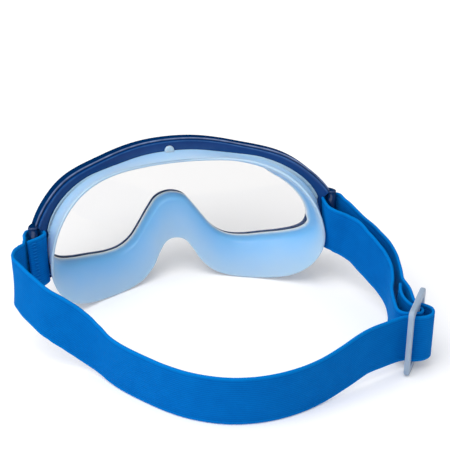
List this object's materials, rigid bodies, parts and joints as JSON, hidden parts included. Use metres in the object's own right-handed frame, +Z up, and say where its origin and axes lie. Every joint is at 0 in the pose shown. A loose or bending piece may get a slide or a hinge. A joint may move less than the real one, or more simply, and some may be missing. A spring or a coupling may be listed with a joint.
{
  "type": "swim goggles",
  "caption": "One-piece-lens swimming goggles with a clamped frame, a soft flared skirt and a wide elastic strap through a three-bar slider.",
  "frame": {"origin": "middle of the footprint, on the surface that the goggles rest on", "axes": "+X to the wearer's right, along the longest extent; +Y forward, the way the wearer looks; +Z up, the shortest extent"},
  "size_m": [0.1853, 0.1567, 0.0678],
  "materials": {
    "frame": "glossy navy plastic",
    "lens": "clear polished plastic",
    "skirt": "satin light blue silicone",
    "webbing": "ribbed elastic webbing, knitted over rubber strands",
    "thread": "sewing thread",
    "slider": "frosted plastic"
  },
  "bodies": {
    "mask": {"front_frame": "frame", "rear_frame": "frame", "lens": "lens", "skirt": "skirt"},
    "left_loop": {"strap_left_loop": "webbing", "left_loop_stitches": "thread"},
    "right_loop": {"strap_right_loop": "webbing"},
    "strap": {"strap_front_run": "webbing", "strap_right_outer": "webbing", "strap_right_inner": "webbing"},
    "slider": {"slider": "slider", "strap_bight": "webbing", "strap_sewn_fold": "webbing", "fold_stitches": "thread"}
  },
  "joints": [
    {"name": "strap_lift", "type": "hinge", "parent": "mask", "child": "strap", "pos_m": [-0.0029, 0.03269, 0.03358], "axis": [-1, 0, 0], "range_deg": [0, 60]},
    {"name": "left_loop_turn", "type": "hinge", "parent": "mask", "child": "left_loop", "pos_m": [-0.0779, 0.03269, 0.03358], "axis": [0, 0.2181, 0.9759], "range_deg": [-12, 12]},
    {"name": "right_loop_turn", "type": "hinge", "parent": "mask", "child": "right_loop", "pos_m": [0.0721, 0.03269, 0.03358], "axis": [0, 0.2181, 0.9759], "range_deg": [-12, 12]},
    {"name": "slider_slide", "type": "slide", "parent": "strap", "child": "slider", "axis": [0.137, 0.9906, 0], "range_m": [0, 0.02], "deforming": ["strap_right_outer", "strap_right_inner"]}
  ]
}
